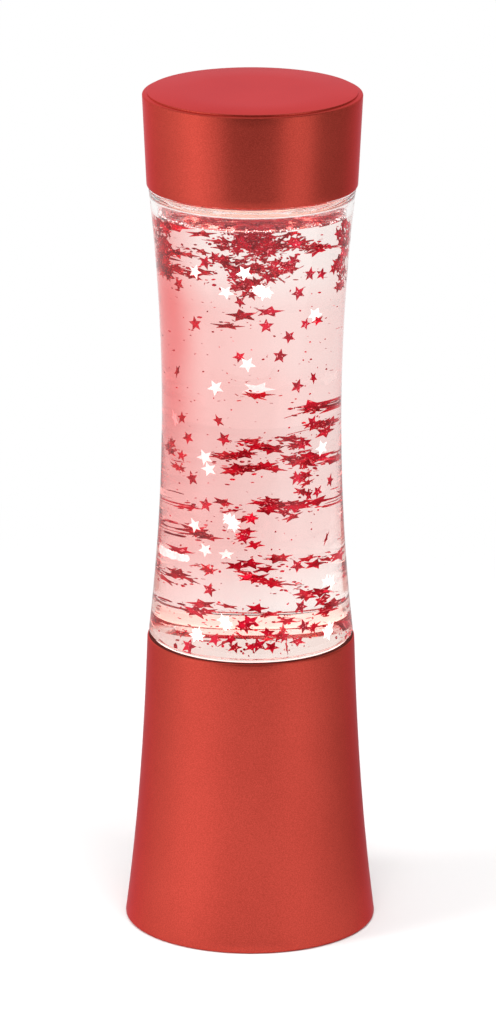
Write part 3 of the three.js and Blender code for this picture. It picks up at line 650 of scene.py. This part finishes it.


# Foil stars and specks. Punched from metallised film, red on both faces. The pale ones are painted
# glints, white flakes that glow to stand for flakes that mirror the light. Most drift in loose bands,
# many hang under the surface.

def foil(name, deep, bright, speck, metal, glow):
    """Crinkled foil with small bright pits. It glows with painted light, an emission that stands in for
    the LEDs' light passing from flake to flake.
    """
    paint = Paint(name)
    crinkle = paint.noise(420.0, 2.0)
    pits = paint.noise(2000.0, 1.0)
    tone = paint.colour(paint.rise(crinkle, 0.38, 0.62), deep, bright)
    pitted = paint.colour(paint.rise(pits, 0.64, 0.68), tone, speck)
    return paint.done(paint.shader(
        Base_Color=pitted,
        Metallic=metal,
        Specular_Tint=bright,
        Roughness=0.24 + crinkle * 0.16,
        Normal=paint.bump(crinkle, 0.0001, 0.4),
        Emission_Color=pitted,
        Emission_Strength=glow,
    ))


red_foil = foil(
    "red_foil", rgb(0.32, 0.004, 0.016), rgb(0.64, 0.008, 0.040), rgb(1.0, 0.40, 0.44),
    metal=0.8, glow=0.24)
# Pale foil is painted glint: white flakes that glow as if they mirrored a lamp
glint_foil = foil(
    "glint_foil", rgb(0.9, 0.80, 0.80), rgb(0.98, 0.93, 0.93), rgb(1.0, 1.0, 1.0),
    metal=0.3, glow=0.88)
coat([name for name in nodes if name.startswith("star_")], red_foil)
draw = random.Random(41)


def flake(name, corners, reach, waist, thickness):
    """One punched flake, flat on its origin: a star, or a hexagon where waist is 1."""
    bm = bmesh.new()
    bmesh.ops.create_circle(bm, cap_ends=True, segments=corners, radius=reach * mm)
    bmesh.ops.scale(bm, vec=(waist, waist, 1), verts=bm.verts[:][1::2])
    top = bmesh.ops.extrude_face_region(bm, geom=bm.faces[:])["geom"]
    lifted = [part for part in top if isinstance(part, bmesh.types.BMVert)]
    bmesh.ops.translate(bm, vec=(0, 0, thickness * mm), verts=lifted)
    bmesh.ops.recalc_face_normals(bm, faces=bm.faces[:])
    mesh = bpy.data.meshes.new(name)
    bm.to_mesh(mesh)
    bm.free()
    return mesh


star_flake = flake("star_flake", corners=10, reach=1.75, waist=0.45, thickness=0.1)
speck_flake = flake("speck_flake", corners=6, reach=0.24, waist=1.0, thickness=0.06)


def turn_place(turn, height, radius):
    """A place by its turn in degrees from the front, its height and its distance from the axis, in mm."""
    angle = math.radians(turn)
    return Vector((radius * math.sin(angle), -radius * math.cos(angle), height))


def inside(spot, margin):
    """The spot, moved in where it would stick through the bottle's wall, floor or surface."""
    lowest = floor_top + 0.6
    highest = liquid_level - 0.3 - margin
    height = min(max(spot.z, lowest), highest)
    wall = bottle_inside(height) if height > bottle_foot + 2.0 else spigot_radius - bottle_wall
    reach = math.hypot(spot.x, spot.y)
    share = min(1.0, (wall - margin) / max(reach, 0.001))
    return Vector((spot.x * share, spot.y * share, height))


def lay(bm, pattern, spot, facing, size=1.0):
    """Adds a flake at a place in mm, with its face turned towards a direction."""
    spin = Matrix.Rotation(draw.uniform(0, 2 * math.pi), 4, "Z")
    stand = Vector(facing).normalized().to_track_quat("Z", "Y").to_matrix().to_4x4()
    known = len(bm.verts)
    bm.from_mesh(pattern)
    bm.verts.ensure_lookup_table()
    matrix = Matrix.Translation(spot * mm) @ stand @ spin @ Matrix.Diagonal((size, size, 1, 1))
    bmesh.ops.transform(bm, matrix=matrix, verts=bm.verts[known:])


def tilted(direction, spread):
    """A direction, turned away at random."""
    return Vector(direction).normalized() + Vector([draw.gauss(0, spread) for _ in range(3)])


# Single stars close to the wall, first the red and then the pale ones, which are painted glints: turn
# from the front, height, distance from the axis
near_stars = [
    (-25, 165.4, 19.2), (41, 160.8, 18.9), (55, 159.9, 17.3), (31, 168.2, 18.0),
    (11, 160.9, 18.4), (18, 164.2, 16.6), (-5, 157.1, 18.9), (-8, 155.2, 18.6), (27, 146.2, 17.4),
    (39, 148.9, 18.2), (51, 149.0, 17.9), (-9, 141.8, 17.2), (52, 135.0, 16.0), (-64, 135.7, 17.0),
    (-59, 124.8, 16.9), (-24, 126.2, 17.6), (-58, 120.0, 14.9), (-72, 117.6, 17.2), (-58, 115.8, 17.4),
    (40, 119.7, 16.9), (45, 107.3, 17.2), (53, 107.6, 17.6), (70, 108.9, 17.1), (0, 103.2, 17.9),
    (-5, 98.6, 18.0), (-32, 90.4, 18.5), (63, 95.5, 17.4), (33, 91.1, 18.4), (-6, 77.7, 19.4),
    (37, 76.3, 19.0), (44, 75.4, 19.4), (-13, 74.2, 19.5), (-24, 73.8, 19.4), (22, 74.4, 19.2),
    (85, 113.3, 17.0), (72, 161.0, 18.6),
]
glint_stars = [
    (-40, 161.3, 19.0), (-18, 157.2, 18.1), (8, 157.2, 17.1), (-5, 162.2, 19.0), (50, 150.4, 16.6),
    (-3, 140.2, 18.0), (-27, 133.9, 17.0), (-72, 123.8, 15.9), (-36, 116.8, 16.9), (-34, 113.9, 16.0),
    (59, 117.7, 17.2), (-14, 101.4, 16.4), (-37, 94.2, 15.8), (-18, 94.2, 17.4), (-17, 77.8, 18.8),
    (-38, 74.0, 19.2), (60, 74.2, 19.2), (68, 84.5, 17.6), (-58, 98.6, 12.6),
    (150, 152.0, 18.0), (-140, 118.0, 17.0), (118, 96.0, 17.5), (-105, 84.0, 18.0), (178, 128.0, 17.0),
    (58, 72.8, 18.7), (60, 85.4, 18.2), (50, 150.2, 17.8),
]

# Clumps of pale stars, painted glints: turn and height of both ends, and how many stars each holds
clumps = [
    (-17, 103.4, -10, 101.6, 6), (3, 158.4, 11, 157.2, 7), (-18, 79.0, -14, 77.0, 4),
    (-39, 74.9, -34, 74.0, 5), (57, 73.0, 62, 73.6, 4),
]

# Bands that the stars drift in: both ends in mm, and how many stars each holds
bands = [
    (-3.8, 11.5, 111.2, 0.1, 11.3, 113.4, 5),
    (-2.9, 13.3, 108.1, 3.8, 13.3, 110.6, 8),
    (-1.3, 13.2, 114.5, 4.4, 13.2, 116.2, 7),
    (9.5, 2.6, 120.9, 11.5, 7.0, 120.1, 8),
    (-4.8, 8.2, 101.4, -0.2, 8.0, 97.2, 3),
    (0.8, 13.6, 100.2, 7.3, 14.5, 98.8, 9),
    (1.5, 4.1, 101.0, 6.9, 5.1, 99.0, 4),
    (-6.4, 15.9, 93.6, -3.6, 16.0, 90.0, 4),
    (-2.2, 4.3, 95.0, 0.7, 4.3, 91.1, 3),
    (1.4, 8.3, 88.2, 7.2, 9.4, 84.4, 4),
    (-1.4, 14.4, 85.5, 1.9, 14.5, 83.5, 2),
    (-1.5, 12.5, 83.2, 5.1, 13.0, 79.0, 5),
    (10.4, 3.5, 87.0, 12.1, 7.4, 86.5, 3),
    (6.9, 5.6, 79.5, 10.6, 8.3, 75.9, 4),
    (-10.8, 9.6, 81.6, -8.7, 6.4, 81.9, 4),
    (-6.7, 16.5, 73.6, -4.6, 16.9, 71.4, 3),
    (-5.1, 1.1, 78.3, 0.8, 0.6, 72.7, 2),
    (0.1, 11.2, 74.0, 4.8, 11.8, 71.5, 3),
    (6.3, -2.8, 74.4, 11.5, -0.2, 72.0, 2),
    (10.3, 7.9, 73.2, 11.1, 10.4, 74.6, 3),
    (-12.5, 7.0, 162.1, -8.0, 1.2, 163.9, 6),
    (-9.3, 12.1, 156.8, -6.0, 8.3, 157.5, 5),
    (4.7, 8.3, 165.9, 9.4, 10.0, 163.6, 6),
    (9.8, -4.6, 112.2, 9.9, -4.6, 105.4, 4),
    (-14.1, 1.7, 116.7, -12.6, -1.9, 110.7, 5),
    (-2.9, 15.2, 145.0, -0.8, 15.3, 145.6, 2),
    (-0.2, 15.0, 127.8, 1.5, 14.9, 127.1, 2),
    (6.0, 13.2, 123.4, 7.1, 14.4, 122.3, 4),
    (6.9, 1.2, 118.1, 8.4, 2.0, 110.4, 8),
    (5.6, 11.6, 111.9, 7.8, 12.9, 109.6, 5),
    (-4.3, 12.3, 165.5, 4.4, 12.2, 163.1, 14),
    (-4.4, 8.1, 160.7, 4.3, 8.0, 158.3, 14),
    (-3.4, 4.0, 155.0, 1.4, 3.8, 156.1, 8),
    (-7.1, 14.5, 98.7, -6.8, 12.3, 99.2, 2),
    (-11.9, -7.5, 91.3, -7.1, -10.5, 87.7, 2),
]

specks_per_star = 5


def speck_size():
    return draw.uniform(0.7, 1.5)


def even_reach(radius):
    """A distance from the axis, drawn so that places spread evenly over a disc."""
    return radius * draw.random() ** 0.5


stars = bmesh.new()
specks = bmesh.new()
pale = bmesh.new()

# The single stars and the clumps, which face outwards
for turn, height, radius in near_stars:
    spot = inside(turn_place(turn, height, radius), 1.2)
    lay(stars, star_flake, spot, tilted((spot.x, spot.y, 0), 0.3), draw.uniform(0.85, 1.08))
for turn, height, radius in glint_stars:
    spot = inside(turn_place(turn, height, radius), 1.2)
    lay(pale, star_flake, spot, tilted((spot.x, spot.y, 0), 0.15), draw.uniform(0.95, 1.15))
for turn0, height0, turn1, height1, count in clumps:
    for i in range(count):
        share = (i + 0.5) / count
        turn = turn0 + (turn1 - turn0) * share + draw.uniform(-1.5, 1.5)
        height = height0 + (height1 - height0) * share + draw.uniform(-0.4, 0.4)
        spot = inside(turn_place(turn, height, draw.uniform(18.4, 19.4)), 0.9)
        lay(pale, star_flake, spot, tilted((spot.x, spot.y, 0), 0.15), draw.uniform(0.65, 0.95))

# A swarm of large pale specks side by side: a painted reflection, which reads as one bright streak
for i in range(60):
    height = 90.9 + 0.018 * i + draw.uniform(-0.2, 0.2)
    spot = inside(turn_place(-82 + 0.6 * i, height, 19.2), 0.9)
    lay(pale, speck_flake, spot, tilted((spot.x, spot.y, 0), 0.1), 4.8 - 0.025 * i)

# The bands, where stars lie nearly flat among specks
for x0, y0, z0, x1, y1, z1, count in bands:
    start, end = Vector((x0, y0, z0)), Vector((x1, y1, z1))
    for i in range(count):
        loose = Vector([draw.gauss(0, 0.7) for _ in range(3)])
        spot = inside(start.lerp(end, (i + 0.5) / count) + loose, 1.6)
        lay(stars, star_flake, spot, tilted((0, -0.45, 0.9), 0.35), draw.uniform(0.8, 1.1))
    for i in range(count * specks_per_star):
        loose = Vector([draw.gauss(0, 1.1) for _ in range(3)])
        spot = inside(start.lerp(end, draw.random()) + loose, 0.8)
        lay(specks, speck_flake, spot, tilted((0, 0, 1), 0.8), speck_size())

# Under the surface: a cloud in the middle that thins out downwards
for i in range(72):
    spot = Vector((draw.gauss(0.8, 3.2), draw.uniform(-17, -2), liquid_level - abs(draw.gauss(0, 5.8))))
    lay(stars, star_flake, inside(spot, 1.6), tilted((0, -0.3, 0.9), 0.5), draw.uniform(0.8, 1.05))

# Beside that cloud, along the wall: the turns between which a group lies, its lowest height and how
# many stars it holds
sides = [
    (-88, -66, 158, 62), (-108, -88, 157, 12), (-165, -140, 158, 5), (70, 90, 155, 44),
    (90, 106, 155, 8),
]
for turn0, turn1, lowest, count in sides:
    for i in range(count):
        turn = draw.uniform(turn0, turn1)
        spot = turn_place(turn, draw.uniform(lowest, 170.8), draw.uniform(16.5, 19.8))
        facing = tilted((spot.x, spot.y, 8), 0.5)
        lay(stars, star_flake, inside(spot, 1.0), facing, draw.uniform(0.8, 1.05))

# The specks of the middle cloud
for i in range(420):
    spot = Vector((draw.gauss(0.8, 3.6), draw.uniform(-17, 2), liquid_level - abs(draw.gauss(0, 7.0))))
    lay(specks, speck_flake, inside(spot, 0.6), tilted((0, 0, 1), 0.8), speck_size())

# Settled on the floor, more of the stars at the front
for i in range(16):
    turn = draw.gauss(4, 40) if i % 4 else draw.uniform(-180, 180)
    spot = turn_place(turn, draw.uniform(69.2, 73.0), draw.uniform(6, 18.6))
    lay(stars, star_flake, inside(spot, 1.2), tilted((0, -0.5, 0.8), 0.5), draw.uniform(0.85, 1.08))
for i in range(110):
    spot = turn_place(draw.uniform(-180, 180), draw.uniform(68.9, 72.5), even_reach(19))
    lay(specks, speck_flake, inside(spot, 0.8), tilted((0, 0, 1), 0.8), speck_size())

# On the surface, thickest at the front, each star a little above the one before
surface = liquid_level + 0.12
for i in range(190):
    turn = draw.gauss(3, 30) if i % 6 else draw.uniform(-180, 180)
    spot = turn_place(turn, surface + 0.0035 * i, draw.uniform(5, 19.9))
    lay(stars, star_flake, spot, tilted((0, 0, 1), 0.03), draw.uniform(0.8, 1.05))
for i in range(300):
    turn = draw.gauss(0, 45) if i % 3 else draw.uniform(-180, 180)
    spot = turn_place(turn, surface + draw.uniform(0, 0.4), draw.uniform(6, 21))
    lay(specks, speck_flake, spot, tilted((0, 0, 1), 0.1), speck_size())

# Pale specks where the surface climbs the wall: a painted highlight along the edge of the surface
for i in range(200):
    turn = draw.uniform(-100, 100)
    height = liquid_level + draw.uniform(0.1, 0.5)
    spot = turn_place(turn, height, draw.uniform(21.0, 21.75))
    lay(pale, speck_flake, spot, tilted((spot.x, spot.y, 0), 0.5), draw.uniform(0.4, 0.8))

# Loose ones: stars at the back, and specks all through the liquid
for i in range(22):
    spot = turn_place(draw.uniform(100, 260), draw.uniform(74, 150), draw.uniform(15, 18.5))
    lay(stars, star_flake, inside(spot, 1.4), tilted((spot.x, spot.y, 0), 0.5), draw.uniform(0.7, 0.95))
for i in range(420):
    spot = turn_place(draw.uniform(-180, 180), draw.uniform(72, 165), even_reach(20))
    lay(specks, speck_flake, inside(spot, 0.6), tilted((0, 0, 1), 0.9), draw.uniform(0.5, 1.1))


def flakes(name, bm, finish):
    mesh = bpy.data.meshes.new(name)
    bm.to_mesh(mesh)
    bm.free()
    mesh.materials.append(finish)
    made = bpy.data.objects.new(name, mesh)
    bpy.context.scene.collection.objects.link(made)
    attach(made, "lamp")


flakes("loose_red_stars", stars, red_foil)
# The pale stars are painted glints
flakes("painted_glint_stars", pale, glint_foil)
flakes("red_specks", specks, red_foil)


# Closure of the bottle's neck. White moulded plastic with a flange, pressed into the neck on its foam
# liner, under the cap.

coat(["bottle_closure"], moulded_plastic(
    "closure_plastic", rgb(0.74, 0.74, 0.71), rgb(0.86, 0.86, 0.83), grain=1800.0, rough=0.45))
# The liner is the same foam, with the same painted glow
coat(["closure_liner"], glowing_foam)


# Cap. Moulded and lacquered like the base, a little wider at the top, with a rounded top edge and a
# fine step round its flat top. Its inside faces glow with painted light from the LEDs. It is pushed over
# the bottle's upper spigot.

cap_bottom = 178.0
cap_top = 200.0
cap_wall = 1.8
cap_mouth = 22.1
mouth_chamfer = 0.2
cap_radius_below = 24.4
cap_flare = 1.05
lower_edge = 0.3
upper_edge = 0.45
upper_edge_height = cap_top - 0.9
step_radius = 24.3
step_edge = 0.12
step_foot = cap_top - 0.44
step_chamfer = 0.08
skin_depth = 1.4


def cap_radius(height):
    return cap_radius_below + cap_flare * (height - cap_bottom) / (cap_top - cap_bottom)


cap_skin = bmesh.new()
turned(cap_skin, [
    (cap_mouth, cap_bottom + mouth_chamfer),
    (cap_mouth + mouth_chamfer, cap_bottom),
    *rounded(cap_radius(cap_bottom) - lower_edge, cap_bottom + lower_edge, lower_edge, -90, 0, 4),
    *curve(cap_radius, cap_bottom + lower_edge, upper_edge_height, 12),
    *rounded(cap_radius(upper_edge_height) - upper_edge, upper_edge_height, upper_edge, 0, 80, 6),
    (step_radius + step_edge, step_foot),
    (step_radius, step_foot + step_chamfer),
    *rounded(step_radius - step_edge, cap_top - step_edge, step_edge, 0, 90, 4),
    (step_radius * 0.6, cap_top),
    (0, cap_top),
    (0, cap_top - cap_wall),
    (cap_radius(cap_top - cap_wall) - cap_wall, cap_top - cap_wall),
    (cap_radius(spigot_top + cap_wall) - cap_wall, spigot_top + cap_wall),
    (cap_mouth, spigot_top),
])
cap_painted_glow = painted_glow_plastic(
    "painted_glow_cap_inside", rgb(0.8, 0.66, 0.6), rgb(0.9, 0.76, 0.7), rgb(1.0, 0.70, 0.60), glow=0.45)
cap = piece("cap_skin", cap_skin, "lamp", "red_lacquer", ["top_cap"], red_skin, cap_painted_glow)


def inside_cap(at, normal):
    return at.z < cap_top - skin_depth and at.xy.length < cap_radius(at.z) - skin_depth


# The faces inside the cap take the pale plastic with its painted glow
other_finish(cap, inside_cap)


# Studio. A pale floor that keeps the lamp's shadow, a white room, three soft boxes and a camera at
# the photo's angle. None of it belongs to the lamp.

def white_room():
    """White for the camera and through glass; in reflections, bands of soft boxes and dark gaps."""
    paint = Paint("white_room", bpy.data.worlds)
    way = paint.add("ShaderNodeTexCoord", output="Generated")
    across, back, up = (paint.add("ShaderNodeSeparateXYZ", inputs={0: way}, output=i) for i in range(3))
    turn = across.maths("ARCTAN2", across, back * -1.0)
    share = paint.add("ShaderNodeMapRange", inputs={0: turn, 1: -math.pi, 2: math.pi})
    levels = [
        (-180, 0.92), (-112, 0.62), (-84, 0.85), (-62, 1.3), (-42, 0.82), (-22, 0.08), (22, 0.08),
        (40, 0.85), (58, 0.85), (76, 0.19), (112, 0.24), (145, 0.6), (180, 0.92),
    ]
    stops = [((degrees + 180) / 360, level) for degrees, level in levels]
    round_about = paint.add("ShaderNodeValToRGB", {"stops": stops}, {0: share})
    above = paint.add("ShaderNodeMapRange", inputs={0: up, 1: 0.45, 2: 0.8, 3: 1.0, 4: 0.62})

    def for_rays(kind, level, others):
        of_kind = paint.add("ShaderNodeLightPath", output=kind)
        return paint.add("ShaderNodeMix", inputs={0: of_kind, 2: others, 3: level})

    strength = for_rays("Is Glossy Ray", round_about * above, 0.55)
    strength = for_rays("Is Transmission Ray", 1.05, strength)
    strength = for_rays("Is Camera Ray", 1.0, strength)
    sky = paint.add("ShaderNodeBackground", inputs={0: rgb(1.0, 1.0, 1.0), 1: strength})
    paint.add("ShaderNodeOutputWorld", {"is_active_output": True}, {0: sky})
    bpy.context.scene.world = paint.material


def pale_floor():
    """White paper near the lamp and plain white further out, darker where the lamp mirrors it.

    From below, and right under the lamp, it is see-through.
    """
    paint = Paint("pale_floor")
    reach = paint.add("ShaderNodeVectorMath", {"operation": "LENGTH"}, {0: paint.place()}, "Value")
    far = paint.rise(reach, 0.1, 0.34)
    paper = paint.shader(Base_Color=rgb(0.93, 0.93, 0.93), Roughness=0.8)
    white = paint.add("ShaderNodeEmission", inputs={"Color": rgb(1.0, 1.0, 1.0), "Strength": 1.0})
    scattered = paint.add("ShaderNodeLightPath", output="Is Diffuse Ray")
    lit = paint.add("ShaderNodeMixShader", inputs={0: far * (1 - scattered), 1: paper, 2: white})
    glossy = paint.add("ShaderNodeLightPath", output="Is Glossy Ray")
    through = paint.add("ShaderNodeLightPath", output="Is Transmission Ray")
    near_right = paint.rise(paint.place(0), 0.03, 0.08) * (1 - far) * 0.15
    shade = 0.14 + paint.rise(paint.place(1), -0.12, 0.08) * 0.32 + near_right
    dark = paint.add("ShaderNodeEmission", inputs={"Color": rgb(0.0, 0.0, 0.0), "Strength": 0.0})
    mirrored = glossy * (1 - through) * shade
    lit = paint.add("ShaderNodeMixShader", inputs={0: mirrored, 1: lit, 2: dark})
    below = paint.add("ShaderNodeNewGeometry", output="Backfacing")
    under_lamp = 1 - paint.rise(reach, 0.0284, 0.0287)
    unseen = below.maths("MAXIMUM", below, under_lamp)
    gone = paint.add("ShaderNodeBsdfTransparent")
    return paint.done(paint.add("ShaderNodeMixShader", inputs={0: unseen, 1: lit, 2: gone}))


floor_reach = 0.42
floor_bm = bmesh.new()
bmesh.ops.create_circle(floor_bm, cap_ends=True, segments=96, radius=floor_reach)
floor_mesh = bpy.data.meshes.new("floor")
floor_bm.to_mesh(floor_mesh)
floor_bm.free()
floor_mesh.materials.append(pale_floor())
floor = bpy.data.objects.new("floor", floor_mesh)
bpy.context.scene.collection.objects.link(floor)
white_room()


def soft_lamp(name, turn, tilt, distance, width, height, watts):
    """A soft box that looks at the middle of the lamp, by its turn from the front and its tilt up."""
    light = bpy.data.lights.new(name, "AREA")
    light.shape = "RECTANGLE"
    light.size = width
    light.size_y = height
    light.energy = watts
    made = bpy.data.objects.new(name, light)
    bpy.context.scene.collection.objects.link(made)
    flat, up = math.radians(turn), math.radians(tilt)
    away = Vector((math.sin(flat) * math.cos(up), -math.cos(flat) * math.cos(up), math.sin(up)))
    made.location = Vector((0, 0, 0.1)) + away * distance
    made.rotation_euler = away.to_track_quat("Z", "Y").to_euler()
    made.visible_camera = False
    made.visible_transmission = False
    made.visible_glossy = False


soft_lamp("left_box", turn=-68, tilt=18, distance=1.0, width=0.45, height=0.8, watts=9.0)
soft_lamp("right_box", turn=56, tilt=12, distance=1.1, width=0.16, height=0.8, watts=3.0)
soft_lamp("top_box", turn=10, tilt=62, distance=1.0, width=0.6, height=0.4, watts=7.0)

# The camera stands 1.59 m away. It looks down and leans very slightly, by these degrees
look_down = 16.72
lean = 0.175
camera_data = bpy.data.cameras.new("camera")
camera_data.lens = 234.14
camera_data.sensor_width = 36.0
camera = bpy.data.objects.new("camera", camera_data)
bpy.context.scene.collection.objects.link(camera)
camera.location = (-0.00076, -1.4906, 0.5469)
pitch = Matrix.Rotation(math.radians(90 - look_down), 3, "X")
roll = Matrix.Rotation(math.radians(lean), 3, "Z")
camera.rotation_euler = (pitch @ roll).to_euler()
bpy.context.scene.camera = camera
bpy.context.scene.view_settings.view_transform = "Standard"
bpy.context.scene.cycles.max_bounces = 32
bpy.context.scene.cycles.transmission_bounces = 24
bpy.context.scene.cycles.glossy_bounces = 24
bpy.context.scene.cycles.transparent_max_bounces = 64
